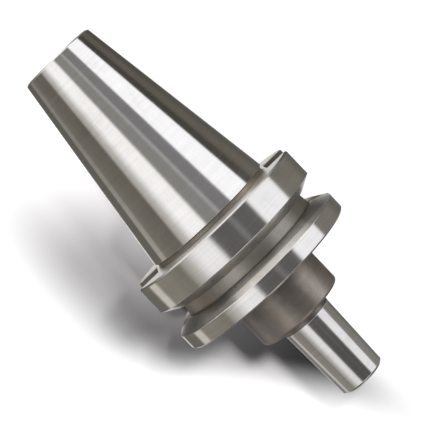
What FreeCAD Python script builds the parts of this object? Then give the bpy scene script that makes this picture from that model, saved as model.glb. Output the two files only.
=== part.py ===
import FreeCAD, Part
import math
import os
import Sketcher

# Chuck arbor with a 40-size 7/24 steep taper at the back and a no. 6 short chuck taper at the nose. Millimetres.
# The axis of the arbor is +X, pointing out of the nose. The origin is the centre of the gauge plane, where the steep
# taper is 44.45 across. The two drive slots are at +Y and -Y.

os.makedirs("parts", exist_ok=True)
doc = FreeCAD.newDocument("arbor")
sheet = doc.addObject("Spreadsheet::Sheet", "dims")

SIZES = [
    # steep taper
    ("gauge_radius", 22.225, "radius of the steep taper at the gauge plane"),
    ("taper_slope", 7.0 / 48.0, "growth of the radius per millimetre of length, 7/24 on the diameter"),
    ("taper_length", 65.4, "gauge plane to the small end face"),
    ("small_edge", 0.45, "edge break on the small end"),
    ("neck_relief_radius", 21.55, "grinding relief between the taper and the flange"),
    ("neck_relief_start", 0.35, "where that relief starts"),
    # flange
    ("flange_rear", 2.0, "gauge plane to the flange's rear face"),
    ("flange_front", 27.0, "gauge plane to the flange's front face"),
    ("flange_radius", 31.5, "outside of both lands"),
    ("flange_edge", 0.5, "edge break on the flange's outer edges"),
    ("groove_centre", 16.6, "centre of the gripper groove"),
    ("groove_half_mouth", 5.0, "half the width of its mouth at the outside"),
    ("groove_half_root", 2.113, "half its width at the foot of the flanks and below"),
    ("groove_root_radius", 26.5, "radius at the foot of the flanks"),
    ("groove_relief_radius", 25.4, "radius of the relief's floor, below the flanks"),
    ("slot_width", 16.1, "drive slot, side to side"),
    ("slot_floor", 22.6, "arbor axis to the slot's floor"),
    ("slot_reach", 20.6, "gauge plane to the slot's rounded end"),
    # collar
    ("collar_radius", 15.1, "collar behind the nose"),
    ("collar_front", 42.3, "gauge plane to the collar's front face"),
    ("collar_round", 1.2, "rounding of its front edge"),
    ("collar_root", 0.8, "fillet between the flange and the collar"),
    # bores
    ("pilot_radius", 8.5, "plain bore at the mouth"),
    ("pilot_depth", 7.0, "its depth from the small end face"),
    ("mouth_edge", 0.6, "edge break of the mouth"),
    ("tapped_radius", 7.0, "bored size of the M16 x 2 thread"),
    ("tapped_depth", 33.0, "small end face to the end of the thread"),
    ("runout_radius", 8.3, "thread runout groove"),
    ("runout_depth", 37.0, "small end face to the end of that groove"),
    ("access_radius", 7.1, "bore that the draw screw is reached through"),
    ("web_rear", 8.0, "gauge plane to the web's rear face, the screw's seat"),
    ("web_front", 18.0, "gauge plane to the web's front face"),
    ("screw_hole_radius", 4.5, "clearance hole through the web"),
    ("seat_radius", 7.0, "bore that takes the spigot's tail"),
    # spigot
    ("tail_radius", 6.99, "ground tail in that bore"),
    ("tail_end", 19.0, "gauge plane to the end of the tail"),
    ("tail_edge", 0.5, "edge break on the tail"),
    ("shoulder_radius", 8.62, "plain shoulder that seats on the collar"),
    ("nose_start", 45.0, "gauge plane to the big end of the chuck taper"),
    ("nose_length", 25.4, "length of the chuck taper"),
    ("nose_big_radius", 8.585, "chuck taper at its big end"),
    ("nose_small_radius", 7.926, "chuck taper at its small end"),
    ("nose_edge", 0.7, "edge break on the nose"),
    ("tail_hole_radius", 3.6, "M8 thread in the tail, plain at its pitch size"),
    ("tail_hole_end", 34.0, "gauge plane to the bottom of that thread"),
    ("tail_drill_end", 36.0, "tip of its drill point"),
    ("centre_radius", 2.65, "mouth of the centre hole in the nose"),
    ("centre_pilot", 1.25, "pilot of the centre hole"),
    ("centre_cone", 2.42, "depth of its 60 degree cone"),
    ("centre_depth", 5.2, "depth of its pilot"),
    # draw screw, M8 x 25 with a socket head
    ("head_radius", 6.5, "screw head"),
    ("head_height", 8.0, "height of the head"),
    ("head_edge", 0.6, "edge break on the head"),
    ("screw_radius", 3.58, "M8 thread, plain at its pitch size"),
    ("screw_length", 25.0, "length under the head"),
    ("screw_point", 0.8, "chamfer on the screw's point"),
    ("socket_half_flat", 3.0, "half the socket's width across flats"),
    ("socket_depth", 4.0, "depth of the socket"),
    # spring lock washer
    ("washer_outer", 6.35, "outer radius"),
    ("washer_inner", 4.05, "inner radius"),
    ("washer_thickness", 2.0, "thickness"),
    ("washer_gap", 1.0, "width of the split"),
    # key pins
    ("pin_circle", 7.0, "radius that the pins stand on, the joint line of tail and bore"),
    ("pin_radius", 1.5, "pin"),
    ("pin_length", 10.0, "length of each pin"),
    ("pin_setback", 0.5, "pin end below the collar's face"),
    ("pin_edge", 0.25, "edge break on the pins"),
    ("pin_hole_depth", 11.0, "depth of the pin holes from the collar's face"),
]

sheet.set("A1", "name")
sheet.set("B1", "mm")
sheet.set("C1", "what it is")
for row, (alias, value, words) in enumerate(SIZES, start=2):
    sheet.set("A%d" % row, alias)
    sheet.set("B%d" % row, repr(value))
    sheet.set("C%d" % row, words)
    sheet.setAlias("B%d" % row, alias)
doc.recompute()


class Size:
    """A length with its number and the sheet expression that drives it."""

    def __init__(self, value, text):
        self.value = float(value)
        self.text = text

    @staticmethod
    def of(other):
        return other if isinstance(other, Size) else Size(other, repr(float(other)))

    def __add__(self, other):
        other = Size.of(other)
        return Size(self.value + other.value, "(%s + %s)" % (self.text, other.text))

    __radd__ = __add__

    def __sub__(self, other):
        other = Size.of(other)
        return Size(self.value - other.value, "(%s - %s)" % (self.text, other.text))

    def __rsub__(self, other):
        return Size.of(other) - self

    def __mul__(self, other):
        other = Size.of(other)
        return Size(self.value * other.value, "(%s * %s)" % (self.text, other.text))

    __rmul__ = __mul__

    def __truediv__(self, other):
        other = Size.of(other)
        return Size(self.value / other.value, "(%s / %s)" % (self.text, other.text))

    def __neg__(self):
        return Size(-self.value, "(0 - %s)" % self.text)


D = {alias: Size(value, "dims.%s" % alias) for alias, value, _ in SIZES}
ZERO = Size(0.0, "0")


def new_body(name):
    body = doc.addObject("PartDesign::Body", name)
    body.Label = name
    return body


def origin(body, role):
    for feature in body.Origin.OriginFeatures:
        if feature.Role == role:
            return feature
    raise RuntimeError("no %s in %s" % (role, body.Name))


def new_sketch(body, name, role, offset=None):
    """A sketch on one of the body's own planes, moved along the plane's normal by offset."""
    sketch = body.newObject("Sketcher::SketchObject", name)
    sketch.AttachmentSupport = [(origin(body, role), "")]
    sketch.MapMode = "FlatFace"
    if offset is not None:
        sketch.AttachmentOffset = FreeCAD.Placement(FreeCAD.Vector(0, 0, offset.value), FreeCAD.Rotation())
        sketch.setExpression("AttachmentOffset.Base.z", offset.text)
    return sketch


def bind(sketch, index, name, size):
    sketch.renameConstraint(index, name)
    sketch.setExpression("Constraints." + name, size.text)


def outline(sketch, points):
    """A closed polygon whose corners are each held at their own two sizes."""
    count = len(points)
    corners = [FreeCAD.Vector(px.value, py.value, 0) for px, py in points]
    first = sketch.GeometryCount
    for k in range(count):
        sketch.addGeometry(Part.LineSegment(corners[k], corners[(k + 1) % count]), False)
    for k in range(count):
        sketch.addConstraint(Sketcher.Constraint("Coincident", first + k, 2, first + (k + 1) % count, 1))
    for k, (px, py) in enumerate(points):
        i = sketch.addConstraint(Sketcher.Constraint("DistanceX", -1, 1, first + k, 1, px.value))
        bind(sketch, i, "along_%d" % (first + k), px)
        i = sketch.addConstraint(Sketcher.Constraint("DistanceY", -1, 1, first + k, 1, py.value))
        bind(sketch, i, "across_%d" % (first + k), py)


def circle(sketch, cx, cy, radius, name):
    geo = sketch.addGeometry(Part.Circle(FreeCAD.Vector(cx.value, cy.value, 0), FreeCAD.Vector(0, 0, 1), radius.value), False)
    i = sketch.addConstraint(Sketcher.Constraint("DistanceX", -1, 1, geo, 3, cx.value))
    bind(sketch, i, name + "_along", cx)
    i = sketch.addConstraint(Sketcher.Constraint("DistanceY", -1, 1, geo, 3, cy.value))
    bind(sketch, i, name + "_across", cy)
    i = sketch.addConstraint(Sketcher.Constraint("Radius", geo, radius.value))
    bind(sketch, i, name + "_radius", radius)


def volume(body):
    doc.recompute()
    return body.Shape.Volume


def turn(body, name, points, kind="PartDesign::Revolution"):
    """Turns an outline drawn in the body's own XZ plane about the arbor's axis, adding or cutting."""
    before = 0.0 if kind == "PartDesign::Revolution" else volume(body)
    sketch = new_sketch(body, name + "_outline", "XZ_Plane")
    outline(sketch, points)
    feature = body.newObject(kind, name)
    feature.Profile = sketch
    feature.ReferenceAxis = (sketch, ["H_Axis"])
    feature.Angle = 360.0
    doc.recompute()
    after = volume(body)
    if kind == "PartDesign::Revolution" and not after > before:
        raise RuntimeError("%s added nothing" % name)
    if kind == "PartDesign::Groove" and not after < before - 0.01:
        raise RuntimeError("%s cut nothing" % name)
    return feature


def cut(body, name, sketch, depth, reverse=False):
    """A pocket of the given depth, with its volume compared."""
    before = volume(body)
    feature = body.newObject("PartDesign::Pocket", name)
    feature.Profile = sketch
    feature.Type = 0
    feature.Length = depth.value
    feature.setExpression("Length", depth.text)
    feature.Reversed = reverse
    doc.recompute()
    if not volume(body) < before - 0.01:
        raise RuntimeError("%s cut nothing" % name)
    return feature


def pair_about_axis(body, name, feature):
    """Repeats a cut on the other side of the arbor's axis."""
    before = volume(body)
    pattern = body.newObject("PartDesign::PolarPattern", name)
    pattern.Originals = [feature]
    pattern.Axis = (origin(body, "X_Axis"), [""])
    pattern.Angle = 360.0
    pattern.Occurrences = 2
    body.Tip = pattern
    doc.recompute()
    if not volume(body) < before - 0.01:
        raise RuntimeError("%s repeated nothing" % name)
    return pattern


def ring_edges(shape, position, radius):
    """Names of the full circles of one radius at one place along the axis."""
    names = []
    for k, edge in enumerate(shape.Edges, start=1):
        curve = edge.Curve
        if curve.TypeId == "Part::GeomCircle" and abs(curve.Radius - radius) < 0.01 and abs(curve.Center.x - position) < 0.01:
            names.append("Edge%d" % k)
    return names


# ---------------------------------------------------------------- taper shank
# Steep taper, flange and collar, turned from one bar.
shank = new_body("taper_shank")
small_x = -D["taper_length"]
small_radius = D["gauge_radius"] - D["taper_length"] * D["taper_slope"]
edge_radius = D["gauge_radius"] - (D["taper_length"] - D["small_edge"]) * D["taper_slope"]
turn(shank, "blank", [
    (small_x, ZERO),
    (small_x, small_radius - D["small_edge"]),
    (small_x + D["small_edge"], edge_radius),
    (ZERO, D["gauge_radius"]),
    (D["neck_relief_start"], D["gauge_radius"] + 0.05),
    (D["neck_relief_start"] + 0.35, D["neck_relief_radius"]),
    (D["flange_rear"], D["neck_relief_radius"]),
    (D["flange_rear"], D["flange_radius"] - D["flange_edge"]),
    (D["flange_rear"] + D["flange_edge"], D["flange_radius"]),
    (D["flange_front"] - D["flange_edge"], D["flange_radius"]),
    (D["flange_front"], D["flange_radius"] - D["flange_edge"]),
    (D["flange_front"], D["collar_radius"]),
    (D["collar_front"], D["collar_radius"]),
    (D["collar_front"], ZERO),
])

# Gripper groove, 60 degrees between its flanks, with a straight-sided, flat relief below them.
over = 2.0
slope = (D["groove_half_mouth"] - D["groove_half_root"]) / (D["flange_radius"] - D["groove_root_radius"])
turn(shank, "gripper_groove", [
    (D["groove_centre"] - D["groove_half_root"], D["groove_relief_radius"]),
    (D["groove_centre"] - D["groove_half_root"], D["groove_root_radius"]),
    (D["groove_centre"] - D["groove_half_mouth"] - slope * over, D["flange_radius"] + over),
    (D["groove_centre"] + D["groove_half_mouth"] + slope * over, D["flange_radius"] + over),
    (D["groove_centre"] + D["groove_half_root"], D["groove_root_radius"]),
    (D["groove_centre"] + D["groove_half_root"], D["groove_relief_radius"]),
], "PartDesign::Groove")

# Bore from the small end: chamfered mouth, pilot, bored size of the thread, thread runout and the access bore, with a
# flat seat for the draw screw.
turn(shank, "rear_bore", [
    (small_x - 1.0, ZERO),
    (small_x - 1.0, D["pilot_radius"] + D["mouth_edge"] + 1.0),
    (small_x + D["mouth_edge"], D["pilot_radius"]),
    (small_x + D["pilot_depth"], D["pilot_radius"]),
    (small_x + D["pilot_depth"] + 0.9, D["tapped_radius"]),
    (small_x + D["tapped_depth"], D["tapped_radius"]),
    (small_x + D["tapped_depth"] + 0.9, D["runout_radius"]),
    (small_x + D["runout_depth"] - 0.9, D["runout_radius"]),
    (small_x + D["runout_depth"], D["access_radius"]),
    (D["web_rear"], D["access_radius"]),
    (D["web_rear"], ZERO),
], "PartDesign::Groove")

# Bore from the collar for the spigot's tail.
turn(shank, "seat_bore", [
    (D["web_front"], ZERO),
    (D["web_front"], D["seat_radius"]),
    (D["collar_front"] - 0.4, D["seat_radius"]),
    (D["collar_front"] + 0.6, D["seat_radius"] + 1.0),
    (D["collar_front"] + 0.6, ZERO),
], "PartDesign::Groove")

# Clearance hole for the draw screw through the web between the two bores.
sketch = new_sketch(shank, "screw_hole_circle", "YZ_Plane", D["web_rear"] - 0.5)
circle(sketch, ZERO, ZERO, D["screw_hole_radius"], "hole")
cut(shank, "screw_hole", sketch, D["web_front"] - D["web_rear"] + 1.0, reverse=True)

# Drive slot: milled from the rear face with the cutter's axis radial, so its far end is a half round. It passes through
# the rear land and the groove and stops in the front land's flank.
sketch = new_sketch(shank, "drive_slot_plan", "XZ_Plane", -D["slot_floor"])
half = D["slot_width"] / 2.0
centre = D["slot_reach"] - half
start = Size(-3.0, "-3")
left = sketch.addGeometry(Part.LineSegment(FreeCAD.Vector(start.value, -half.value, 0), FreeCAD.Vector(start.value, half.value, 0)), False)
top = sketch.addGeometry(Part.LineSegment(FreeCAD.Vector(start.value, half.value, 0), FreeCAD.Vector(centre.value, half.value, 0)), False)
low = sketch.addGeometry(Part.LineSegment(FreeCAD.Vector(centre.value, -half.value, 0), FreeCAD.Vector(start.value, -half.value, 0)), False)
end = sketch.addGeometry(Part.ArcOfCircle(Part.Circle(FreeCAD.Vector(centre.value, 0, 0), FreeCAD.Vector(0, 0, 1), half.value), -math.pi / 2, math.pi / 2), False)
sketch.addConstraint(Sketcher.Constraint("Coincident", left, 2, top, 1))
sketch.addConstraint(Sketcher.Constraint("Coincident", low, 2, left, 1))
sketch.addConstraint(Sketcher.Constraint("Coincident", top, 2, end, 2))
sketch.addConstraint(Sketcher.Constraint("Coincident", end, 1, low, 1))
sketch.addConstraint(Sketcher.Constraint("Vertical", left))
sketch.addConstraint(Sketcher.Constraint("Horizontal", top))
sketch.addConstraint(Sketcher.Constraint("Horizontal", low))
i = sketch.addConstraint(Sketcher.Constraint("DistanceX", -1, 1, left, 1, start.value))
bind(sketch, i, "start", start)
i = sketch.addConstraint(Sketcher.Constraint("DistanceX", -1, 1, end, 3, centre.value))
bind(sketch, i, "centre", centre)
i = sketch.addConstraint(Sketcher.Constraint("DistanceY", -1, 1, end, 3, 0.0))
i = sketch.addConstraint(Sketcher.Constraint("Radius", end, half.value))
bind(sketch, i, "half_width", half)
sketch.addConstraint(Sketcher.Constraint("Vertical", end, 2, end, 3))
slot = cut(shank, "drive_slot", sketch, D["flange_radius"] - D["slot_floor"] + 2.0)
pair_about_axis(shank, "drive_slots", slot)

# Half of each key pin's hole is in the collar, along the joint line between the bore and the spigot's tail.
sketch = new_sketch(shank, "pin_hole_circle", "YZ_Plane", D["collar_front"])
circle(sketch, ZERO, D["pin_circle"], D["pin_radius"], "pin")
hole = cut(shank, "pin_hole", sketch, D["pin_hole_depth"])
pair_about_axis(shank, "pin_holes", hole)

# Rounded front edge of the collar, and the fillet at its root.
for name, place, size in (("collar_front_round", D["collar_front"], D["collar_round"]), ("collar_root_fillet", D["flange_front"], D["collar_root"])):
    base = shank.Tip
    edges = ring_edges(base.Shape, place.value, D["collar_radius"].value)
    if not edges:
        raise RuntimeError("no edge for %s" % name)
    fillet = shank.newObject("PartDesign::Fillet", name)
    fillet.Base = (base, edges)
    fillet.Radius = size.value
    fillet.setExpression("Radius", size.text)
    shank.Tip = fillet
    doc.recompute()

# ---------------------------------------------------------------- chuck spigot
# Nose with the short chuck taper, a plain shoulder that seats on the collar and a ground tail that is drawn into it.
spigot = new_body("chuck_spigot")
nose_end = D["nose_start"] + D["nose_length"]
turn(spigot, "spigot_blank", [
    (D["tail_end"], ZERO),
    (D["tail_end"], D["tail_radius"] - D["tail_edge"]),
    (D["tail_end"] + D["tail_edge"], D["tail_radius"]),
    (D["collar_front"], D["tail_radius"]),
    (D["collar_front"], D["shoulder_radius"]),
    (D["nose_start"] - 0.3, D["shoulder_radius"]),
    (D["nose_start"], D["nose_big_radius"]),
    (nose_end - D["nose_edge"], D["nose_small_radius"] + 0.018),
    (nose_end, D["nose_small_radius"] - D["nose_edge"]),
    (nose_end, ZERO),
])
turn(spigot, "tail_thread_bore", [
    (D["tail_end"] - 0.5, ZERO),
    (D["tail_end"] - 0.5, D["tail_hole_radius"] + 1.1),
    (D["tail_end"] + 0.6, D["tail_hole_radius"]),
    (D["tail_hole_end"], D["tail_hole_radius"]),
    (D["tail_drill_end"], ZERO),
], "PartDesign::Groove")
turn(spigot, "centre_hole", [
    (nose_end + 0.5, ZERO),
    (nose_end + 0.5, D["centre_radius"] + 0.289),
    (nose_end - D["centre_cone"], D["centre_pilot"]),
    (nose_end - D["centre_depth"], D["centre_pilot"]),
    (nose_end - D["centre_depth"] - 0.7, ZERO),
], "PartDesign::Groove")
sketch = new_sketch(spigot, "tail_pin_circle", "YZ_Plane", D["collar_front"])
circle(sketch, ZERO, D["pin_circle"], D["pin_radius"], "pin")
hole = cut(spigot, "tail_pin_flute", sketch, D["pin_hole_depth"])
pair_about_axis(spigot, "tail_pin_flutes", hole)

# ---------------------------------------------------------------- draw screw
# Socket head cap screw, its head facing the small end, seated on the lock washer.
screw = new_body("draw_screw")
head_seat = D["web_rear"] - D["washer_thickness"]
head_top = head_seat - D["head_height"]
screw_tip = head_seat + D["screw_length"]
turn(screw, "screw_blank", [
    (head_top, ZERO),
    (head_top, D["head_radius"] - D["head_edge"]),
    (head_top + D["head_edge"], D["head_radius"]),
    (head_seat, D["head_radius"]),
    (head_seat, D["screw_radius"] + 0.4),
    (head_seat + 0.4, D["screw_radius"]),
    (screw_tip - D["screw_point"], D["screw_radius"]),
    (screw_tip, D["screw_radius"] - D["screw_point"]),
    (screw_tip, ZERO),
])
sketch = new_sketch(screw, "socket_hexagon", "YZ_Plane", head_top)
flat = D["socket_half_flat"]
corner = flat * (2.0 / math.sqrt(3.0))
outline(sketch, [
    (corner, ZERO),
    (corner / 2.0, flat),
    (-(corner / 2.0), flat),
    (-corner, ZERO),
    (-(corner / 2.0), -flat),
    (corner / 2.0, -flat),
])
cut(screw, "socket", sketch, D["socket_depth"], reverse=True)

# ---------------------------------------------------------------- lock washer
# Split spring washer under the screw's head, drawn as it is when tight.
washer = new_body("lock_washer")
turn(washer, "washer_ring", [
    (head_seat, D["washer_inner"]),
    (head_seat, D["washer_outer"] - 0.2),
    (head_seat + 0.2, D["washer_outer"]),
    (D["web_rear"] - 0.2, D["washer_outer"]),
    (D["web_rear"], D["washer_outer"] - 0.2),
    (D["web_rear"], D["washer_inner"]),
])
sketch = new_sketch(washer, "split_outline", "XY_Plane", D["washer_inner"] - 1.0)
gap = D["washer_gap"] / 2.0
lean = 0.5
outline(sketch, [
    (head_seat - 0.5, -gap - lean),
    (head_seat - 0.5, gap - lean),
    (D["web_rear"] + 0.5, gap + lean),
    (D["web_rear"] + 0.5, -gap + lean),
])
cut(washer, "split", sketch, D["washer_outer"] - D["washer_inner"] + 2.0, reverse=True)

# ---------------------------------------------------------------- key pins
# Two plain pins, half in the collar and half in the tail, that stop the spigot turning.
pins = []
for name, side in (("key_pin_upper", 1.0), ("key_pin_lower", -1.0)):
    pin = doc.addObject("Part::Cylinder", name + "_rod")
    pin.setExpression("Radius", D["pin_radius"].text)
    pin.setExpression("Height", D["pin_length"].text)
    back = D["collar_front"] - D["pin_setback"] - D["pin_length"]
    pin.Placement = FreeCAD.Placement(
        FreeCAD.Vector(back.value, 0, side * D["pin_circle"].value),
        FreeCAD.Rotation(FreeCAD.Vector(0, 1, 0), 90),
    )
    pin.setExpression("Placement.Base.x", back.text)
    pin.setExpression("Placement.Base.z", (D["pin_circle"] * side).text)
    doc.recompute()
    broken = doc.addObject("Part::Chamfer", name)
    broken.Base = pin
    rims = [k for k, edge in enumerate(pin.Shape.Edges, start=1) if edge.Curve.TypeId == "Part::GeomCircle"]
    broken.Edges = [(k, D["pin_edge"].value, D["pin_edge"].value) for k in rims]
    doc.recompute()
    pins.append(broken)
key_pins = doc.addObject("Part::Compound", "key_pins")
key_pins.Label = "key_pins"
key_pins.Links = pins
doc.recompute()

# ---------------------------------------------------------------- write the pieces
doc.recompute()
for obj in doc.Objects:
    if "Invalid" in obj.State or "Error" in obj.State:
        raise RuntimeError("%s failed: %s" % (obj.Name, obj.State))
nodes = [shank, spigot, screw, washer, key_pins]
for node in nodes:
    shape = node.Shape
    if shape.isNull() or not shape.isValid():
        raise RuntimeError("%s has no valid shape" % node.Label)
for node in nodes:
    shape = node.Shape
    box = shape.BoundBox
    print("%-14s solids %d volume %9.1f  x %.2f..%.2f  y %.2f..%.2f  z %.2f..%.2f" % (
        node.Label, len(shape.Solids), shape.Volume, box.XMin, box.XMax, box.YMin, box.YMax, box.ZMin, box.ZMax))
    shape.exportStep(os.path.join("parts", node.Label + ".step"))
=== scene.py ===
import math

import bmesh
import bpy
import numpy as np
from mathutils import Matrix, Vector


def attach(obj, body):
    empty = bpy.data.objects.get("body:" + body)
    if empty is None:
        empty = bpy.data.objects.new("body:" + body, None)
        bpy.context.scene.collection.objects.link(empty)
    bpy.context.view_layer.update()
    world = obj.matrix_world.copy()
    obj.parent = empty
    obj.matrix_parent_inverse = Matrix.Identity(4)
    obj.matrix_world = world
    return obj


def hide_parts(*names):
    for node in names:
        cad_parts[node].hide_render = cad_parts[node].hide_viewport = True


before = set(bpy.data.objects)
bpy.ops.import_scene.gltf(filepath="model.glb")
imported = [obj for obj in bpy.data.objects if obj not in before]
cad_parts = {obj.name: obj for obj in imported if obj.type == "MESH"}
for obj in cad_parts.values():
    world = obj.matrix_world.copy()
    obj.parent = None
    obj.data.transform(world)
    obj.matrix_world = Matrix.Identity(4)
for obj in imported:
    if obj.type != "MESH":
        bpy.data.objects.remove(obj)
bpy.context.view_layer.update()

# Chuck arbor lying on its flange. Row frame: +X out of the nose, drive slots at +Y and -Y, +Z up, origin at the gauge
# plane. Lengths below are millimetres and become metres where meshes are made.

scene = bpy.context.scene
MM = 0.001

# ------------------------------------------------------------------ node helpers


class Nodes:
    """A short way to write a node tree."""

    def __init__(self, tree):
        self.tree = tree
        self.nodes = tree.nodes
        self.links = tree.links

    def new(self, kind, **settings):
        node = self.nodes.new(kind)
        for key, value in settings.items():
            setattr(node, key, value)
        return node

    def put(self, socket, value):
        if isinstance(value, bpy.types.NodeSocket):
            self.links.new(value, socket)
        elif isinstance(value, (tuple, list)) and len(value) == 3 and socket.type == "RGBA":
            socket.default_value = (*value, 1.0)
        else:
            socket.default_value = value

    def math(self, operation, a, b=None, c=None, clamp=False):
        node = self.new("ShaderNodeMath", operation=operation, use_clamp=clamp)
        self.put(node.inputs[0], a)
        if b is not None:
            self.put(node.inputs[1], b)
        if c is not None:
            self.put(node.inputs[2], c)
        return node.outputs[0]

    def span(self, value, low, high, to_low=0.0, to_high=1.0, smooth=False):
        node = self.new("ShaderNodeMapRange")
        node.interpolation_type = "SMOOTHSTEP" if smooth else "LINEAR"
        node.clamp = True
        self.put(node.inputs["Value"], value)
        self.put(node.inputs["From Min"], low)
        self.put(node.inputs["From Max"], high)
        self.put(node.inputs["To Min"], to_low)
        self.put(node.inputs["To Max"], to_high)
        return node.outputs["Result"]

    def mix(self, factor, a, b, blend="MIX"):
        node = self.new("ShaderNodeMix", data_type="RGBA", blend_type=blend)
        self.put(node.inputs["Factor"], factor)
        self.put(node.inputs["A"], a)
        self.put(node.inputs["B"], b)
        return node.outputs["Result"]

    def noise(self, vector, scale=1.0, detail=2.0, rough=0.5, distortion=0.0):
        node = self.new("ShaderNodeTexNoise", noise_dimensions="3D")
        self.put(node.inputs["Vector"], vector)
        self.put(node.inputs["Scale"], scale)
        self.put(node.inputs["Detail"], detail)
        self.put(node.inputs["Roughness"], rough)
        self.put(node.inputs["Distortion"], distortion)
        return node.outputs["Fac"]

    def join(self, x, y, z):
        node = self.new("ShaderNodeCombineXYZ")
        self.put(node.inputs[0], x)
        self.put(node.inputs[1], y)
        self.put(node.inputs[2], z)
        return node.outputs[0]

    def ramp(self, factor, stops, mode="LINEAR"):
        node = self.new("ShaderNodeValToRGB")
        ramp = node.color_ramp
        ramp.interpolation = mode
        while len(ramp.elements) > 1:
            ramp.elements.remove(ramp.elements[-1])
        ramp.elements[0].position = stops[0][0]
        ramp.elements[0].color = (*stops[0][1], 1.0)
        for position, colour in stops[1:]:
            element = ramp.elements.new(position)
            element.color = (*colour, 1.0)
        self.put(node.inputs["Fac"], factor)
        return node.outputs["Color"]


def place(n):
    """x, y, z, distance from the axis, and x plus that distance, all in millimetres."""
    where = n.new("ShaderNodeTexCoord").outputs["Object"]
    parts = n.new("ShaderNodeSeparateXYZ")
    n.put(parts.inputs[0], where)
    x, y, z = (n.math("MULTIPLY", parts.outputs[k], 1000.0) for k in range(3))
    r = n.math("SQRT", n.math("ADD", n.math("MULTIPLY", y, y), n.math("MULTIPLY", z, z)))
    return x, y, z, r, n.math("ADD", x, r)


def new_material(name):
    material = bpy.data.materials.new(name)
    material.use_nodes = True
    material.node_tree.nodes.clear()
    n = Nodes(material.node_tree)
    out = n.new("ShaderNodeOutputMaterial")
    shader = n.new("ShaderNodeBsdfPrincipled")
    n.links.new(shader.outputs[0], out.inputs["Surface"])
    return material, n, shader


def ring_vector(n, along, across, x, y, z, s):
    """Stretched coordinates: quick along the axis or out from it, slow round the axis."""
    return n.join(n.math("MULTIPLY", s, along), n.math("MULTIPLY", y, across), n.math("MULTIPLY", z, across))


def ground_steel(name, light, dark, rough_low, rough_high, lines=1.0, anisotropy=0.6, wear=0.5, metallic=1.0):
    """Steel ground between centres: fine rings, a little scatter in gloss, and light stain marks."""
    material, n, shader = new_material(name)
    x, y, z, r, s = place(n)
    fine = n.noise(ring_vector(n, 7.0, 0.05, x, y, z, s), 1.0, 3.0, 0.6)
    band = n.noise(ring_vector(n, 0.9, 0.02, x, y, z, s), 1.0, 2.0, 0.5)
    cloud = n.noise(n.join(x, y, z), 0.09, 4.0, 0.6, 0.6)
    grit = n.noise(n.join(x, y, z), 2.6, 3.0, 0.7)
    lengthwise = n.noise(n.join(n.math("MULTIPLY", x, 0.05), n.math("MULTIPLY", y, 1.7), n.math("MULTIPLY", z, 1.7)), 1.0, 3.0, 0.55)
    tone = n.math("ADD", n.math("MULTIPLY", fine, 0.35), n.math("MULTIPLY", band, 0.25))
    tone = n.math("ADD", tone, n.math("MULTIPLY", cloud, 0.25))
    tone = n.math("ADD", tone, n.math("MULTIPLY", lengthwise, 0.15))
    colour = n.mix(n.span(tone, 0.36, 0.62), dark, light)
    # a few faint brown stain patches from handling and oil
    stain = n.span(n.noise(n.join(x, y, z), 0.05, 5.0, 0.62, 1.2), 0.56, 0.72, 0.0, 0.35 * wear)
    colour = n.mix(stain, colour, (0.36, 0.325, 0.27))
    n.put(shader.inputs["Base Color"], colour)
    shader.inputs["Metallic"].default_value = metallic
    gloss = n.math("ADD", n.math("MULTIPLY", cloud, 0.4), n.math("MULTIPLY", n.math("ADD", fine, grit), 0.3))
    n.put(shader.inputs["Roughness"], n.span(gloss, 0.35, 0.65, rough_low, rough_high))
    shader.inputs["Anisotropic"].default_value = anisotropy
    shader.inputs["Anisotropic Rotation"].default_value = 0.25
    tangent = n.new("ShaderNodeTangent", direction_type="RADIAL", axis="X")
    n.put(shader.inputs["Tangent"], tangent.outputs[0])
    # grinding lines, and sparse scuffs across them
    scuff = n.noise(n.join(n.math("MULTIPLY", x, 0.35), n.math("MULTIPLY", y, 3.1), n.math("MULTIPLY", z, 3.1)), 1.0, 4.0, 0.65, 0.8)
    scuff = n.span(scuff, 0.64, 0.72, 0.0, 0.6 * wear)
    height = n.math("ADD", fine, scuff)
    bump = n.new("ShaderNodeBump")
    bump.inputs["Strength"].default_value = 0.16 * lines
    bump.inputs["Distance"].default_value = 0.00003
    n.put(bump.inputs["Height"], height)
    n.put(shader.inputs["Normal"], bump.outputs[0])
    return material


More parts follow.
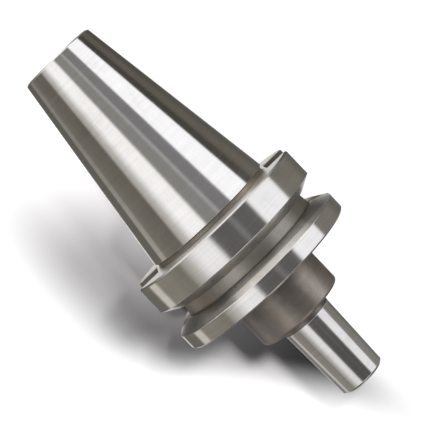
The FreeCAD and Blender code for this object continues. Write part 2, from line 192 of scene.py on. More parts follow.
def hardened_skin(name, light, dark, rough_low, rough_high, grain=1.0, turned=0.5, metallic=1.0, scale=None, painted_shading=()):
    """Steel left as it came from hardening: dark, brownish, dull, with the turning marks showing through. Each band of
    the last argument is painted shade or painted light: a soft patch of darker or lighter colour between two places
    across the arbor, set where the lamps leave the part darker or lighter: from, to, softness, strength. scale, if
    given, is painted shade towards one end."""
    material, n, shader = new_material(name)
    x, y, z, r, s = place(n)
    cloud = n.noise(n.join(x, y, z), 0.11, 5.0, 0.62, 0.9)
    blotch = n.noise(n.join(x, y, z), 0.42, 4.0, 0.6, 0.4)
    rings = n.noise(ring_vector(n, 3.6, 0.05, x, y, z, s), 1.0, 3.0, 0.55)
    grit = n.noise(n.join(x, y, z), 5.5, 3.0, 0.7)
    tone = n.math("ADD", n.math("MULTIPLY", cloud, 0.40), n.math("MULTIPLY", blotch, 0.25))
    tone = n.math("ADD", tone, n.math("ADD", n.math("MULTIPLY", rings, 0.20), n.math("MULTIPLY", grit, 0.15)))
    colour = n.mix(n.span(tone, 0.38, 0.62), dark, light)
    warm = n.span(n.noise(n.join(x, y, z), 0.075, 3.0, 0.5, 1.5), 0.50, 0.70, 0.0, 0.45)
    colour = n.mix(warm, colour, (light[0] * 1.02, light[1] * 0.88, light[2] * 0.74))
    if scale is not None:
        # painted shade, darker towards one end (on the collar, next to the flange): x where darkest, x where it ends,
        # how dark
        end_shade_place = n.math("ADD", x, n.math("MULTIPLY", n.math("SUBTRACT", cloud, 0.5), 10.0))
        colour = n.mix(n.span(end_shade_place, scale[0], scale[1], 1.0, 0.0, True), colour, tuple(c * scale[2] for c in dark))
    # painted shade and painted light, in bands across the arbor
    for low, high, soft, strength in painted_shading:
        across = n.math("ADD", y, n.math("MULTIPLY", n.math("SUBTRACT", cloud, 0.5), 3.0))
        here = n.math("MULTIPLY", n.span(across, low - soft, low, smooth=True), n.span(across, high, high + soft, 1.0, 0.0, True))
        colour = n.mix(here, colour, strength if isinstance(strength, tuple) else (strength, strength, strength), "MULTIPLY")
    n.put(shader.inputs["Base Color"], colour)
    shader.inputs["Metallic"].default_value = metallic
    n.put(shader.inputs["Roughness"], n.span(n.math("ADD", n.math("MULTIPLY", blotch, 0.5), n.math("MULTIPLY", grit, 0.5)), 0.36, 0.64, rough_low, rough_high))
    shader.inputs["Anisotropic"].default_value = 0.25
    shader.inputs["Anisotropic Rotation"].default_value = 0.25
    tangent = n.new("ShaderNodeTangent", direction_type="RADIAL", axis="X")
    n.put(shader.inputs["Tangent"], tangent.outputs[0])
    height = n.math("ADD", n.math("MULTIPLY", grit, 0.8 * grain), n.math("MULTIPLY", rings, 0.9 * turned))
    bump = n.new("ShaderNodeBump")
    bump.inputs["Strength"].default_value = 0.35
    bump.inputs["Distance"].default_value = 0.00004
    n.put(bump.inputs["Height"], height)
    n.put(shader.inputs["Normal"], bump.outputs[0])
    return material


MATERIALS = {
    "taper_ground": ground_steel("taper_ground", (0.66, 0.645, 0.62), (0.575, 0.56, 0.535), 0.10, 0.17, 1.0, 0.75),
    "land_ground": ground_steel("land_ground", (0.66, 0.645, 0.62), (0.57, 0.555, 0.53), 0.10, 0.18, 1.0, 0.70),
    "nose_ground": ground_steel("nose_ground", (0.60, 0.59, 0.57), (0.52, 0.51, 0.49), 0.15, 0.22, 1.0, 0.60),
    "edge_bright": ground_steel("edge_bright", (0.74, 0.725, 0.70), (0.60, 0.585, 0.56), 0.22, 0.34, 0.6, 0.2, 1.0),
    "face_turned": ground_steel("face_turned", (0.68, 0.665, 0.64), (0.57, 0.555, 0.53), 0.30, 0.40, 2.2, 0.3, 1.0, 0.92),
    "rear_edge": ground_steel("rear_edge", (0.52, 0.51, 0.49), (0.42, 0.41, 0.39), 0.30, 0.42, 0.8, 0.2, 1.0),
    "groove_skin": hardened_skin("groove_skin", (0.345, 0.322, 0.285), (0.25, 0.233, 0.205), 0.34, 0.46, 0.8, 0.8, 0.92),
    # groove_front: painted shade darkens the far flank towards both ends, +Y and -Y, where the first land shades it
    # from the lamps; painted light lightens a band on each side nearer the middle
    "groove_front": hardened_skin("groove_front", (0.68, 0.67, 0.65), (0.58, 0.57, 0.545), 0.26, 0.36, 0.4, 0.7, 0.86,
                                  painted_shading=((-40.0, -13.0, 4.0, 0.50), (20.5, 26.0, 2.5, 0.60), (8.0, 16.5, 3.0, 1.12), (-8.5, -4.5, 2.5, 1.15))),
    "groove_back": hardened_skin("groove_back", (0.69, 0.665, 0.635), (0.57, 0.548, 0.518), 0.26, 0.36, 0.6, 0.8, 0.92),
    # painted shade: darker colour in the creases at the groove's root, on its corner fillets and on the walls of the
    # recess
    "root_dark": hardened_skin("root_dark", (0.25, 0.234, 0.208), (0.17, 0.158, 0.14), 0.36, 0.50, 0.8, 0.5, 0.9),
    # collar_skin: painted shade darkens the collar next to the flange; a painted highlight lightens a band towards +Y,
    # a painted dark band runs down the middle, and painted light, bluer, lightens a band towards -Y
    "collar_skin": hardened_skin("collar_skin", (0.318, 0.282, 0.248), (0.222, 0.197, 0.173), 0.41, 0.52, 1.0, 0.6, 0.94, (24.0, 41.0, 0.62),
                                 painted_shading=((9.0, 20.0, 3.0, 1.34), (-2.0, 4.0, 2.5, 0.80), (-20.0, -9.5, 2.5, (1.13, 1.20, 1.34)))),
    # neck_skin: painted light, lighter towards -Y
    "neck_skin": hardened_skin("neck_skin", (0.21, 0.194, 0.172), (0.13, 0.12, 0.106), 0.34, 0.46, 1.0, 0.8, 0.92,
                               painted_shading=((-12.0, -5.5, 2.0, 1.25),)),
    # relief_skin: painted light, lighter towards +Y
    "relief_skin": hardened_skin("relief_skin", (0.33, 0.30, 0.258), (0.21, 0.19, 0.162), 0.40, 0.52, 1.0, 0.6, 0.85,
                                 painted_shading=((13.0, 30.0, 3.0, 1.35),)),
    "slot_milled": hardened_skin("slot_milled", (0.34, 0.32, 0.285), (0.23, 0.215, 0.19), 0.30, 0.42, 0.7, 0.3),
    "bore_dark": hardened_skin("bore_dark", (0.30, 0.285, 0.265), (0.16, 0.15, 0.14), 0.30, 0.45, 0.8, 1.0),
}
ZONES = list(MATERIALS)

# ------------------------------------------------------------------ turned shapes


def outline(points, closed):
    """Turns corners (x, r, fillet, zone of the line that leaves it, zone of the fillet) into lines and arcs. The outside of
    the steel is on the left of the way the outline runs."""
    count = len(points)
    elements = []
    cuts = []
    for k in range(count):
        p = np.array(points[k][:2], float)
        radius = points[k][2]
        if radius <= 0 or (not closed and k in (0, count - 1)):
            cuts.append((p, p, None))
            continue
        a = np.array(points[(k - 1) % count][:2], float) - p
        b = np.array(points[(k + 1) % count][:2], float) - p
        a_len, b_len = np.linalg.norm(a), np.linalg.norm(b)
        a, b = a / a_len, b / b_len
        angle = math.acos(max(-1.0, min(1.0, float(a @ b))))
        back = radius / math.tan(angle / 2)
        limit = 0.49 * min(a_len, b_len)
        if back > limit:
            back, radius = limit, limit * math.tan(angle / 2)
        middle = (a + b) / np.linalg.norm(a + b)
        centre = p + middle * radius / math.sin(angle / 2)
        turn = (-a[0]) * b[1] - (-a[1]) * b[0]
        cuts.append((p + a * back, p + b * back, (centre, radius, -1.0 if turn > 0 else 1.0)))
    for k in range(count):
        start, end, arc = cuts[k]
        if arc is not None:
            elements.append(("arc", points[k][4], start, end) + arc)
        if k == count - 1 and not closed:
            break
        following = cuts[(k + 1) % count][0]
        if np.linalg.norm(following - end) > 1e-6:
            elements.append(("line", points[k][3], end, following))
    return elements


def samples(elements, closed, step):
    """Points along the outline, with the zone of each stretch between them."""
    points, zones = [], []
    for e in elements:
        if e[0] == "line":
            length = np.linalg.norm(e[3] - e[2])
            count = max(1, int(math.ceil(length / step)))
            for i in range(count):
                points.append(e[2] + (e[3] - e[2]) * i / count)
                zones.append(e[1])
        else:
            centre, radius = e[4], e[5]
            a0 = math.atan2(e[2][1] - centre[1], e[2][0] - centre[0])
            a1 = math.atan2(e[3][1] - centre[1], e[3][0] - centre[0])
            sweep = (a1 - a0 + math.pi) % (2 * math.pi) - math.pi
            count = max(3, int(math.ceil(abs(sweep) / math.radians(16))))
            for i in range(count):
                a = a0 + sweep * i / count
                points.append(centre + radius * np.array([math.cos(a), math.sin(a)]))
                zones.append(e[1])
    if not closed:
        points.append(elements[-1][3])
    return points, zones


def turned(name, corners, closed, segments, step=6.0, threads=()):
    """A turned piece as a closed mesh, its axis along X. threads are (x from, x to, pitch, function of phase and x giving the
    change of radius), cut as real helices."""
    elements = outline(corners, closed)
    points, zones = samples(elements, closed, step)
    for x0, x1, pitch, shape in threads:
        low, high = min(x0, x1), max(x0, x1)
        new_points, new_zones = [], []
        total = len(points)
        for k in range(total):
            p = points[k]
            q = points[(k + 1) % total] if (closed or k + 1 < total) else None
            new_points.append(p)
            if q is None:
                break
            inside = abs(p[1] - q[1]) < 1e-6 and abs(p[1] - 7.0) < 1e-6 and min(p[0], q[0]) >= low - 1e-6 and max(p[0], q[0]) <= high + 1e-6
            if inside and k < len(zones):
                count = max(1, int(round(abs(q[0] - p[0]) / (pitch / 14.0))))
                for i in range(count):
                    new_zones.append(zones[k])
                    if i + 1 < count:
                        new_points.append(p + (q - p) * (i + 1) / count)
            elif k < len(zones):
                new_zones.append(zones[k])
        points, zones = new_points, new_zones
    verts, rings = [], []
    angles = np.arange(segments) * 2 * math.pi / segments
    for p in points:
        if p[1] < 1e-6:
            rings.append([len(verts)])
            verts.append((p[0] * MM, 0.0, 0.0))
            continue
        radii = np.full(segments, p[1])
        for x0, x1, pitch, shape in threads:
            if min(x0, x1) - 1e-6 <= p[0] <= max(x0, x1) + 1e-6 and abs(p[1] - 7.0) < 1e-6:
                radii = np.array([r + shape((p[0] / pitch - a / (2 * math.pi)) % 1.0, p[0], r) for r, a in zip(radii, angles)])
        rings.append(list(range(len(verts), len(verts) + segments)))
        verts.extend((p[0] * MM, r * math.cos(a) * MM, r * math.sin(a) * MM) for r, a in zip(radii, angles))
    faces, face_zone = [], []
    total = len(rings)
    for k in range(total if closed else total - 1):
        a, b = rings[k], rings[(k + 1) % total]
        zone = ZONES.index(zones[k])
        for j in range(segments):
            i = (j + 1) % segments
            if len(a) == 1 and len(b) == 1:
                continue
            if len(a) == 1:
                face = (a[0], b[i], b[j])
            elif len(b) == 1:
                face = (a[j], a[i], b[0])
            else:
                face = (a[j], a[i], b[i], b[j])
            faces.append(face)
            face_zone.append(zone)
    mesh = bpy.data.meshes.new(name)
    mesh.from_pydata(verts, [], faces)
    mesh.polygons.foreach_set("material_index", np.array(face_zone, np.int32))
    for zone in ZONES:
        mesh.materials.append(MATERIALS[zone])
    bm = bmesh.new()
    bm.from_mesh(mesh)
    bmesh.ops.recalc_face_normals(bm, faces=bm.faces)
    bm.to_mesh(mesh)
    bm.free()
    mesh.update()
    piece = bpy.data.objects.new(name, mesh)
    scene.collection.objects.link(piece)
    return piece, elements


def stack(name, layers, zones_between, cap_zone):
    """A closed block from outlines of equal count, each a list of points in millimetres."""
    verts, faces, face_zone = [], [], []
    count = len(layers[0])
    for layer in layers:
        verts.extend((p[0] * MM, p[1] * MM, p[2] * MM) for p in layer)
    for k in range(len(layers) - 1):
        for j in range(count):
            i = (j + 1) % count
            faces.append((k * count + j, k * count + i, (k + 1) * count + i, (k + 1) * count + j))
            face_zone.append(ZONES.index(zones_between[k]))
    faces.append(tuple(range(count)))
    face_zone.append(ZONES.index(cap_zone))
    faces.append(tuple(reversed(range((len(layers) - 1) * count, len(layers) * count))))
    face_zone.append(ZONES.index(cap_zone))
    mesh = bpy.data.meshes.new(name)
    mesh.from_pydata(verts, [], faces)
    mesh.polygons.foreach_set("material_index", np.array(face_zone, np.int32))
    for zone in ZONES:
        mesh.materials.append(MATERIALS[zone])
    bm = bmesh.new()
    bm.from_mesh(mesh)
    bmesh.ops.recalc_face_normals(bm, faces=bm.faces)
    bm.to_mesh(mesh)
    bm.free()
    block = bpy.data.objects.new(name, mesh)
    scene.collection.objects.link(block)
    return block


def cut_away(piece, blocks):
    """Takes the blocks out of the piece for good."""
    for block in blocks:
        modifier = piece.modifiers.new("cut", "BOOLEAN")
        modifier.operation = "DIFFERENCE"
        modifier.solver = "EXACT"
        modifier.object = block
        modifier.material_mode = "INDEX"
    bpy.context.view_layer.update()
    result = bpy.data.meshes.new_from_object(piece.evaluated_get(bpy.context.evaluated_depsgraph_get()))
    piece.modifiers.clear()
    old = piece.data
    piece.data = result
    result.name = piece.name
    bpy.data.meshes.remove(old)
    for block in blocks:
        mesh = block.data
        bpy.data.objects.remove(block)
        bpy.data.meshes.remove(mesh)


def true_normals(piece, elements, skip=(), flat_zones=(), arc_ends=()):
    """Gives every face corner the normal of the turned surface that it lies on, so that reflections run true. Faces that a
    cutter left keep their own normals, rounded along the slots' ends."""
    mesh = piece.data
    count = len(mesh.polygons)
    loops = len(mesh.loops)
    co = np.zeros(len(mesh.vertices) * 3)
    mesh.vertices.foreach_get("co", co)
    co = co.reshape(-1, 3) / MM
    vertex_normal = np.zeros(len(mesh.vertices) * 3)
    mesh.vertices.foreach_get("normal", vertex_normal)
    vertex_normal = vertex_normal.reshape(-1, 3)
    normal = np.zeros(count * 3)
    mesh.polygons.foreach_get("normal", normal)
    normal = normal.reshape(-1, 3)
    centre = np.zeros(count * 3)
    mesh.polygons.foreach_get("center", centre)
    centre = centre.reshape(-1, 3) / MM
    zone = np.zeros(count, np.int32)
    mesh.polygons.foreach_get("material_index", zone)
    loop_vertex = np.zeros(loops, np.int32)
    mesh.loops.foreach_get("vertex_index", loop_vertex)
    loop_total = np.zeros(count, np.int32)
    mesh.polygons.foreach_get("loop_total", loop_total)
    loop_face = np.repeat(np.arange(count), loop_total)
    cx, cr = centre[:, 0], np.hypot(centre[:, 1], centre[:, 2])
    safe = np.maximum(cr, 1e-9)
    n_r = (normal[:, 1] * centre[:, 1] + normal[:, 2] * centre[:, 2]) / safe
    best = np.full(count, 1e9)
    chosen = np.zeros(count, np.int32)
    for k, e in enumerate(elements):
        if e[0] == "line":
            p, q = e[2], e[3]
            d = q - p
            length = np.linalg.norm(d)
            d = d / length
            t = np.clip((cx - p[0]) * d[0] + (cr - p[1]) * d[1], 0, length)
            distance = np.hypot(cx - p[0] - t * d[0], cr - p[1] - t * d[1])
            ex, er = -d[1], d[0]
            agree = normal[:, 0] * ex + n_r * er
        else:
            middle, radius, sign = e[4], e[5], e[6]
            vx, vr = cx - middle[0], cr - middle[1]
            size = np.maximum(np.hypot(vx, vr), 1e-9)
            distance = np.abs(size - radius)
            a0, a1 = e[2] - middle, e[3] - middle
            bisector = (a0 + a1) / max(np.linalg.norm(a0 + a1), 1e-9)
            inside = (vx * bisector[0] + vr * bisector[1]) / size >= float(a0 @ bisector) / radius - 0.03
            distance = np.where(inside, distance, 1e3)
            agree = (normal[:, 0] * vx / size + n_r * vr / size) * sign
        cost = distance + 0.2 * (1 - agree)
        better = cost < best
        best = np.where(better, cost, best)
        chosen = np.where(better, k, chosen)
    lv = co[loop_vertex]
    lx, lr = lv[:, 0], np.hypot(lv[:, 1], lv[:, 2])
    out = normal[loop_face].copy()
    which = chosen[loop_face]
    good = (best < 0.05)[loop_face]
    for k, e in enumerate(elements):
        pick = (which == k) & good
        if not pick.any():
            continue
        if e[0] == "line":
            d = (e[3] - e[2]) / np.linalg.norm(e[3] - e[2])
            ex = np.full(pick.sum(), -d[1])
            er = np.full(pick.sum(), d[0])
        else:
            middle, sign = e[4], e[6]
            vx, vr = lx[pick] - middle[0], lr[pick] - middle[1]
            size = np.maximum(np.hypot(vx, vr), 1e-9)
            ex, er = vx / size * sign, vr / size * sign
        radius = np.maximum(lr[pick], 1e-9)
        on_axis = lr[pick] < 1e-6
        out[pick, 0] = np.where(on_axis, np.sign(ex), ex)
        out[pick, 1] = np.where(on_axis, 0, er * lv[pick, 1] / radius)
        out[pick, 2] = np.where(on_axis, 0, er * lv[pick, 2] / radius)
    flat = np.isin(zone, [ZONES.index(z) for z in flat_zones])[loop_face]
    out[flat] = normal[loop_face][flat]
    for x_end in arc_ends:
        curved = flat & (centre[:, 0] > x_end + 1e-3)[loop_face] & (np.abs(normal[:, 1]) < 0.98)[loop_face]
        ny = normal[loop_face][curved, 1]
        vx, vz = lv[curved, 0] - x_end, lv[curved, 2]
        size = np.maximum(np.hypot(vx, vz), 1e-9)
        side = np.sqrt(np.maximum(0, 1 - ny ** 2))
        out[curved] = np.stack([-vx / size * side, ny, -vz / size * side], 1)
    for low, high, r_low, r_high in skip:
        free = (cx > low) & (cx < high) & (cr > r_low) & (cr < r_high)
        pick = free[loop_face]
        out[pick] = vertex_normal[loop_vertex[pick]]
    out /= np.maximum(np.linalg.norm(out, axis=1, keepdims=True), 1e-9)
    mesh.polygons.foreach_set("use_smooth", np.ones(count, bool))
    mesh.normals_split_custom_set(out.tolist())
    mesh.update()
    return float(np.percentile(best, 99))


def tidy(piece):
    """Drops the material slots that no face uses, so that the piece carries only its own finishes."""
    mesh = piece.data
    used = np.zeros(len(mesh.polygons), np.int32)
    mesh.polygons.foreach_get("material_index", used)
    keep = sorted(set(used.tolist()))
    remap = {old: new for new, old in enumerate(keep)}
    materials = [mesh.materials[k] for k in keep]
    mesh.materials.clear()
    for material in materials:
        mesh.materials.append(material)
    mesh.polygons.foreach_set("material_index", np.array([remap[k] for k in used.tolist()], np.int32))
    mesh.update()


# ------------------------------------------------------------------ taper shank
SLOPE = 7.0 / 48.0
SMALL = -65.4
SMALL_R = 22.225 - 65.4 * SLOPE
BEVEL_R = 22.225 - (65.4 - 0.45) * SLOPE
EDGE = 0.12

shank_corners = [
    (SMALL, 9.1, 0.1, "face_turned", "edge_bright"),
    (SMALL, SMALL_R - 0.45, EDGE, "edge_bright", "edge_bright"),
    (SMALL + 0.45, BEVEL_R, EDGE, "taper_ground", "edge_bright"),
    (0.35, 22.225 + 0.05, 0.08, "relief_skin", "edge_bright"),
    (0.70, 21.55, 0.25, "relief_skin", "relief_skin"),
    (2.0, 21.55, 0.35, "face_turned", "relief_skin"),
    (2.0, 31.0, EDGE, "rear_edge", "rear_edge"),
    (2.5, 31.5, EDGE, "land_ground", "rear_edge"),
    (11.6, 31.5, 0.22, "groove_back", "edge_bright"),
    # the corner fillets and walls of the recess at the groove's root carry painted shade
    (14.487, 26.5, 0.25, "root_dark", "groove_back"),
    (14.487, 25.4, 0.4, "groove_skin", "root_dark"),
    (18.713, 25.4, 0.4, "root_dark", "root_dark"),
    (18.713, 26.5, 0.25, "groove_front", "groove_front"),
    (21.6, 31.5, 0.22, "land_ground", "edge_bright"),
    (26.5, 31.5, EDGE, "edge_bright", "edge_bright"),
    (27.0, 31.0, EDGE, "face_turned", "edge_bright"),
    (27.0, 15.1, 0.8, "collar_skin", "collar_skin"),
    (42.3, 15.1, 1.2, "collar_skin", "collar_skin"),
    (42.3, 7.4, 0.05, "collar_skin", "collar_skin"),
    (41.9, 7.0, 0.05, "bore_dark", "bore_dark"),
    (18.0, 7.0, 0.2, "bore_dark", "bore_dark"),
    (18.0, 4.5, 0.1, "bore_dark", "bore_dark"),
    (8.0, 4.5, 0.1, "bore_dark", "bore_dark"),
    (8.0, 7.1, 0.2, "bore_dark", "bore_dark"),
    (SMALL + 37.0, 7.1, 0.1, "bore_dark", "bore_dark"),
    (SMALL + 36.1, 8.3, 0.2, "bore_dark", "bore_dark"),
    (SMALL + 33.9, 8.3, 0.2, "bore_dark", "bore_dark"),
    (SMALL + 33.0, 7.0, 0.0, "bore_dark", "bore_dark"),
    (SMALL + 7.9, 7.0, 0.0, "bore_dark", "bore_dark"),
    (SMALL + 7.0, 8.5, 0.1, "bore_dark", "bore_dark"),
    (SMALL + 0.6, 8.5, 0.1, "edge_bright", "edge_bright"),
]
THREAD_LOW, THREAD_HIGH = SMALL + 7.9, SMALL + 33.0


def inside_thread(phase, x, r):
    """M16 x 2, cut outwards from the bored size, fading in over the first turn."""
    u = abs(phase - 0.5) * 2.0
    depth = 1.06 * (1.0 - min(1.0, max(0.0, (u - 0.125) / 0.625)))
    fade = min(1.0, max(0.0, (x - THREAD_LOW) / 1.6))
    return depth * fade


shank, shank_elements = turned("taper_shank_body", shank_corners, True, 192, 6.0, [(THREAD_LOW, THREAD_HIGH, 2.0, inside_thread)])


def slot_layer(y, grow, side):
    """One outline of the drive slot's cutter, at height y, grown by so much."""
    half = 8.05 + grow
    points = [(-3.0, half + 5.3), (2.3, half)]
    for i in range(49):
        a = math.pi / 2 - math.pi * i / 48
        points.append((12.55 + half * math.cos(a), half * math.sin(a)))
    points += [(2.3, -half), (-3.0, -(half + 5.3))]
    return [(px, side * y, pz) for px, pz in points]


cutters = []
for side in (1.0, -1.0):
    heights = [(22.6, -0.30), (22.66, -0.12), (22.9, 0.0), (30.2, 0.0), (34.0, 3.8)]
    cutters.append(stack("slot_cutter", [slot_layer(y, grow, side) for y, grow in heights],
                         ["slot_milled", "slot_milled", "slot_milled", "edge_bright"], "slot_milled"))


def pin_layer(x, radius, side):
    return [(x, radius * math.cos(a), side * 7.0 + radius * math.sin(a)) for a in np.arange(48) * 2 * math.pi / 48]


def pin_cutters():
    return [stack("pin_cutter", [pin_layer(31.3, 1.5, side), pin_layer(43.3, 1.5, side)], ["bore_dark"], "bore_dark") for side in (1.0, -1.0)]


cut_away(shank, cutters + pin_cutters())
shank_fit = true_normals(shank, shank_elements, [(THREAD_LOW - 0.2, THREAD_HIGH + 0.2, 6.5, 8.28)], ["slot_milled"], [12.55])
tidy(shank)
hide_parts("taper_shank")
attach(shank, "root")

# ------------------------------------------------------------------ chuck spigot
spigot_corners = [
    (34.0 + 2.0, 0.0, 0.0, "bore_dark", "bore_dark"),
    (34.0, 3.6, 0.1, "bore_dark", "bore_dark"),
    (19.6, 3.6, 0.05, "bore_dark", "bore_dark"),
    (19.0, 4.2, 0.05, "face_turned", "edge_bright"),
    (19.0, 6.49, 0.1, "edge_bright", "edge_bright"),
    (19.5, 6.99, 0.1, "nose_ground", "edge_bright"),
    (42.3, 6.99, 0.1, "neck_skin", "neck_skin"),
    (42.3, 8.62, 0.15, "neck_skin", "neck_skin"),
    (44.75, 8.62, 0.1, "edge_bright", "edge_bright"),
    (45.0, 8.585, 0.1, "nose_ground", "edge_bright"),
    (69.7, 7.944, 0.25, "edge_bright", "edge_bright"),
    (70.4, 7.226, 0.25, "face_turned", "edge_bright"),
    (70.4, 2.65, 0.08, "face_turned", "edge_bright"),
    (67.98, 1.25, 0.05, "bore_dark", "bore_dark"),
    (65.2, 1.25, 0.05, "bore_dark", "bore_dark"),
    (64.5, 0.0, 0.0, "bore_dark", "bore_dark"),
]
spigot, spigot_elements = turned("chuck_spigot_body", spigot_corners, False, 144, 6.0)
cut_away(spigot, pin_cutters())
spigot_fit = true_normals(spigot, spigot_elements)
tidy(spigot)
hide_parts("chuck_spigot")
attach(spigot, "root")

# ------------------------------------------------------------------ pieces inside
screw_black = hardened_skin("screw_black", (0.11, 0.105, 0.10), (0.05, 0.048, 0.046), 0.30, 0.45, 0.6, 0.3)
washer_grey = hardened_skin("washer_grey", (0.20, 0.195, 0.185), (0.10, 0.097, 0.092), 0.35, 0.50, 0.8, 0.3)
for node, material in (("draw_screw", screw_black), ("lock_washer", washer_grey), ("key_pins", MATERIALS["nose_ground"])):
    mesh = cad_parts[node].data
    mesh.materials.clear()
    mesh.materials.append(material)

# ------------------------------------------------------------------ floor and backdrop
FLOOR_Z = -31.5 * MM


def disc(name, radius, z):
    mesh = bpy.data.meshes.new(name)
    points = [(radius * math.cos(a), radius * math.sin(a), z) for a in np.arange(96) * 2 * math.pi / 96]
    mesh.from_pydata(points, [], [tuple(range(96))])
    thing = bpy.data.objects.new(name, mesh)
    scene.collection.objects.link(thing)
    return thing


floor = disc("studio_floor", 5.0, FLOOR_Z - 0.00002)
material, n, shader = new_material("studio_floor")
where = n.new("ShaderNodeTexCoord").outputs["Object"]
n.put(shader.inputs["Base Color"], n.mix(n.noise(where, 40.0, 3.0, 0.5), (0.873, 0.845, 0.857), (0.903, 0.875, 0.887)))
shader.inputs["Roughness"].default_value = 0.9
shader.inputs["Specular IOR Level"].default_value = 0.1
# painted light: the floor glows of itself all round, and the glow is taken away only in a patch shaped like the arbor's
# shadow, which fades out towards the small end; the glow paints the shadow's outline and that fade, and inside the
# patch the lamps cast the shadow
spread = n.new("ShaderNodeSeparateXYZ")
n.put(spread.inputs[0], where)
gx, gy = (n.math("MULTIPLY", spread.outputs[k], 1000.0) for k in range(2))
outward = n.math("SUBTRACT", n.math("MULTIPLY", gx, 0.62), n.math("MULTIPLY", gy, 0.785))
dim = n.span(gy, -8.0, 8.0, 1.0, 0.0, smooth=True)
dim = n.math("MULTIPLY", dim, n.span(gx, -62.0, -10.0, 0.0, 1.0, smooth=True))
dim = n.math("MULTIPLY", dim, n.span(outward, 45.0, 63.0, 1.0, 0.0, smooth=True))
dim = n.math("MULTIPLY", dim, n.span(gy, -66.0, -38.0, 0.0, 1.0, smooth=True))
shader.inputs["Emission Color"].default_value = (1.0, 1.0, 1.0, 1.0)
n.put(shader.inputs["Emission Strength"], n.math("MULTIPLY", n.math("SUBTRACT", 1.0, dim), 1.02))
floor.data.materials.append(material)
floor.visible_glossy = False

bpy.ops.mesh.primitive_uv_sphere_add(segments=64, ring_count=32, radius=5.2)
dome = bpy.context.object
dome.name = "studio_backdrop"
material = bpy.data.materials.new("studio_backdrop")
material.use_nodes = True
material.node_tree.nodes.clear()
n = Nodes(material.node_tree)
out = n.new("ShaderNodeOutputMaterial")
glow = n.new("ShaderNodeEmission")
glow.inputs["Color"].default_value = (1.0, 1.0, 1.0, 1.0)
glow.inputs["Strength"].default_value = 1.1
n.links.new(glow.outputs[0], out.inputs["Surface"])
dome.data.materials.append(material)
for ray in ("diffuse", "glossy", "transmission", "volume_scatter", "shadow"):
    setattr(dome, "visible_" + ray, False)

# ------------------------------------------------------------------ light
# Two long softboxes and their surroundings, as bands round the X axis. 0 degrees is straight up, positive towards -Y.
world = bpy.data.worlds.new("studio")
scene.world = world
world.use_nodes = True
world.node_tree.nodes.clear()
n = Nodes(world.node_tree)
direction = n.new("ShaderNodeTexCoord").outputs["Generated"]
parts = n.new("ShaderNodeSeparateXYZ")
n.put(parts.inputs[0], direction)
dx, dy, dz = parts.outputs
turn = n.math("ARCTAN2", n.math("MULTIPLY", dy, -1.0), dz)
along = n.span(turn, -math.pi, math.pi)
LEVEL = 4.0


def bands(white, edges, gap_dark, gap_line, gap_light, side, lower, stripe, rim, warmth=1.0):
    """white: level of the two softboxes. edges: where they begin and end. side: levels from the upper dark side inwards.
    lower: levels of the room below the second softbox. rim: where the pale table begins."""
    def grey(v, warm=0.0):
        return (v, v * (1 - 0.35 * warm * warmth), v * (1 - warm * warmth))
    w1 = tuple(white * c for c in (0.955, 0.965, 1.015))
    w2 = tuple(white * c for c in (0.905, 0.905, 0.925))
    stops = [
        (-180, (1.05, 1.04, 1.03)),
        (-170, (0.95, 0.94, 0.93)),
        (-164, grey(side[0], 0.10)),
        (-140, grey(side[0], 0.12)),
        (-120, grey(side[1], 0.20)),
        (-108, grey(side[1], 0.20)),
        (-100, grey(side[2], 0.14)),
        (edges[0] - 2, grey(side[2], 0.14)),
        (edges[0] + 1, w1),
        (edges[1] - 1.5, w1),
        (edges[1] + 1.5, gap_dark),
        (-20, gap_dark),
        (-17, gap_line),
        (-14, gap_line),
        (-10, gap_light),
        (edges[2] - 3, gap_light),
        (edges[2] + 2.5, w2),
        (edges[3] - 11, w2),
        (edges[3] - 2, tuple(0.72 * c for c in w2)),
        (edges[3] + 2, grey(lower[0], 0.06)),
        (edges[3] + 12, grey(lower[1], 0.09)),
        (edges[3] + 16, grey(lower[2], 0.20)),
        (89, grey(lower[3], 0.20)),
        (107, grey(lower[4], 0.20)),
        (110, grey(stripe, 0.10)),
        (121, grey(stripe, 0.10)),
        (125, grey(lower[5], 0.15)),
        (rim, grey(lower[5] * 0.8, 0.12)),
        (rim + 5, (0.95, 0.94, 0.93)),
        (180, (1.05, 1.04, 1.03)),
    ]
    return [((a + 180.0) / 360.0, tuple(v / LEVEL for v in c)) for a, c in stops]


taper_side = n.ramp(along, bands(1.60, (-84, -42, 12, 49), (0.29, 0.285, 0.30), (0.52, 0.52, 0.52), (0.35, 0.352, 0.34),
                                 (0.10, 0.165, 0.08), (0.80, 0.58, 0.185, 0.218, 0.26, 0.17), 0.34, 166))
nose_side = n.ramp(along, bands(1.40, (-83, -41.5, 16, 49), (0.165, 0.16, 0.163), (0.27, 0.265, 0.268), (0.145, 0.14, 0.14),
                                (0.17, 0.27, 0.265), (0.72, 0.45, 0.27, 0.34, 0.34, 0.21), 0.83, 159))
spigot_side = n.ramp(along, bands(1.40, (-81.5, -41.5, 18.5, 51), (0.112, 0.109, 0.108), (0.118, 0.115, 0.114), (0.108, 0.105, 0.103),
                                  (0.24, 0.37, 0.38), (0.80, 0.56, 0.375, 0.415, 0.43, 0.37), 0.90, 159, 0.45))
tone = n.mix(n.span(dx, -0.16, 0.10, smooth=True), taper_side, nose_side)
tone = n.mix(n.span(dx, 0.185, 0.235, smooth=True), tone, spigot_side)
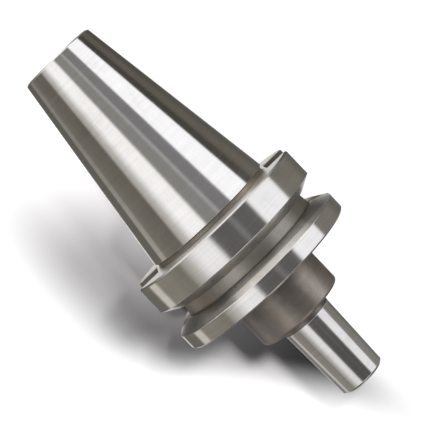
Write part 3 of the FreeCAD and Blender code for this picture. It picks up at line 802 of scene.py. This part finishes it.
# beyond the ends of the softboxes: a card over the nose end, plain room over the small end
card = [(-180, 0.5), (-150, 0.10), (-60, 0.10), (-42, 1.5), (26, 1.5), (46, 0.16), (150, 0.12), (180, 0.5)]
nose_end = n.ramp(along, [((a + 180.0) / 360.0, (v / LEVEL, v * 0.99 / LEVEL, v * 0.96 / LEVEL)) for a, v in card])
small_end = n.ramp(n.span(dz, -1.0, 1.0), [(0.0, (0.05, 0.048, 0.044)), (0.30, (0.06, 0.058, 0.053)), (0.44, (0.50, 0.495, 0.49)), (0.62, (0.50, 0.495, 0.49)), (0.80, (0.12, 0.118, 0.115)), (1.0, (0.10, 0.098, 0.095))])
tone = n.mix(n.span(dx, 0.50, 0.72, smooth=True), tone, nose_end)
tone = n.mix(n.span(dx, -0.45, -0.62, smooth=True), tone, small_end)
background = n.new("ShaderNodeBackground")
n.put(background.inputs["Color"], tone)
background.inputs["Strength"].default_value = LEVEL
out = n.new("ShaderNodeOutputWorld")
n.links.new(background.outputs[0], out.inputs["Surface"])
world.cycles_visibility.diffuse = False


def sun(name, towards, strength, angle, colour):
    light = bpy.data.lights.new(name, "SUN")
    light.energy = strength
    light.angle = math.radians(angle)
    light.color = colour
    lamp = bpy.data.objects.new(name, light)
    lamp.rotation_mode = "QUATERNION"
    lamp.rotation_quaternion = Vector(towards).to_track_quat("-Z", "Y")
    lamp.visible_glossy = False
    scene.collection.objects.link(lamp)
    return lamp


sun("fill", (0.10, 0.05, -1.0), 0.02, 130, (0.90, 0.87, 1.0))


def spot(name, at, to, power, size, soft, colour):
    light = bpy.data.lights.new(name, "SPOT")
    light.energy = power
    light.spot_size = size
    light.spot_blend = 1.0
    light.shadow_soft_size = soft
    light.color = colour
    lamp = bpy.data.objects.new(name, light)
    lamp.location = at
    lamp.rotation_mode = "QUATERNION"
    lamp.rotation_quaternion = (Vector(to) - Vector(at)).to_track_quat("-Z", "Y")
    lamp.visible_glossy = False
    scene.collection.objects.link(lamp)
    return lamp


# Small lamps over the arbor, as their pools of light on the floor: the slant of the beam in x and y for one unit of
# height, the middle of the pool, its radius, the distance of the lamp, and the brightness that it alone gives the floor.
POOLS = [
    (-0.61, -0.20, -17.0, -0.5, 47.0, 350.0, 0.758),
    (0.396, -0.01, -36.0, -20.0, 113.5, 409.0, 0.128),
    (-0.042, 0.537, 4.5, -70.5, 81.5, 350.0, 0.141),
    (-0.215, 0.279, 54.5, -22.0, 36.5, 350.0, 0.416),
]
for k, (tx, ty, x, y, radius, away, share) in enumerate(POOLS):
    lean = 1.0 / math.sqrt(1 + tx * tx + ty * ty)
    to = Vector((x, y, -31.5)) * MM
    at = to + Vector((tx, ty, 1.0)) * lean * away * MM
    power = share * 4 * math.pi ** 2 * (away * MM) ** 2 / (0.9 * lean)
    spot(f"lamp_{k}", at, to, power, 2 * math.atan(radius / away), 20 * MM, (1.0, 0.997, 0.995))

# a narrow low lamp over the small end that reaches into the groove; the first land shades the foot of the far flank
spot("groove_light", (-0.56, 0.005, 0.206), (0.0195, 0.004, 0.029), 64.0, 2 * math.atan(0.024 / 0.6), 0.02, (1.0, 0.99, 0.975))

# ------------------------------------------------------------------ camera
# Looks down on the arbor, turned so that the nose points to the lower right.
F_PX = 1532.99
PX, PY, PZ = -2.6228, -0.4738, 468.81
TH, PS = 0.8060, 0.0953
x_row = Vector((math.cos(PS) * math.cos(TH), math.cos(PS) * math.sin(TH), math.sin(PS)))
y_row = Vector((math.sin(TH), -math.cos(TH), 0.0))
z_row = Vector((math.sin(PS) * math.cos(TH), math.sin(PS) * math.sin(TH), -math.cos(PS)))
to_row = Matrix((x_row, y_row, z_row))
eye = to_row @ Vector((-PX, -PY, -PZ)) * MM
right, up, back = to_row @ Vector((1, 0, 0)), to_row @ Vector((0, -1, 0)), to_row @ Vector((0, 0, -1))
camera_data = bpy.data.cameras.new("camera")
camera_data.sensor_width = 36.0
camera_data.lens = F_PX / 430.0 * 36.0
camera_data.clip_start = 0.01
camera_data.clip_end = 30.0
camera = bpy.data.objects.new("camera", camera_data)
scene.collection.objects.link(camera)
camera.matrix_world = Matrix((
    (right.x, up.x, back.x, eye.x),
    (right.y, up.y, back.y, eye.y),
    (right.z, up.z, back.z, eye.z),
    (0.0, 0.0, 0.0, 1.0),
))
scene.camera = camera
scene.view_settings.view_transform = "Standard"
scene.view_settings.look = "None"
scene.cycles.caustics_reflective = False
scene.cycles.caustics_refractive = False

print("NORMALS", shank_fit, spigot_fit, len(shank.data.polygons), len(spigot.data.polygons))
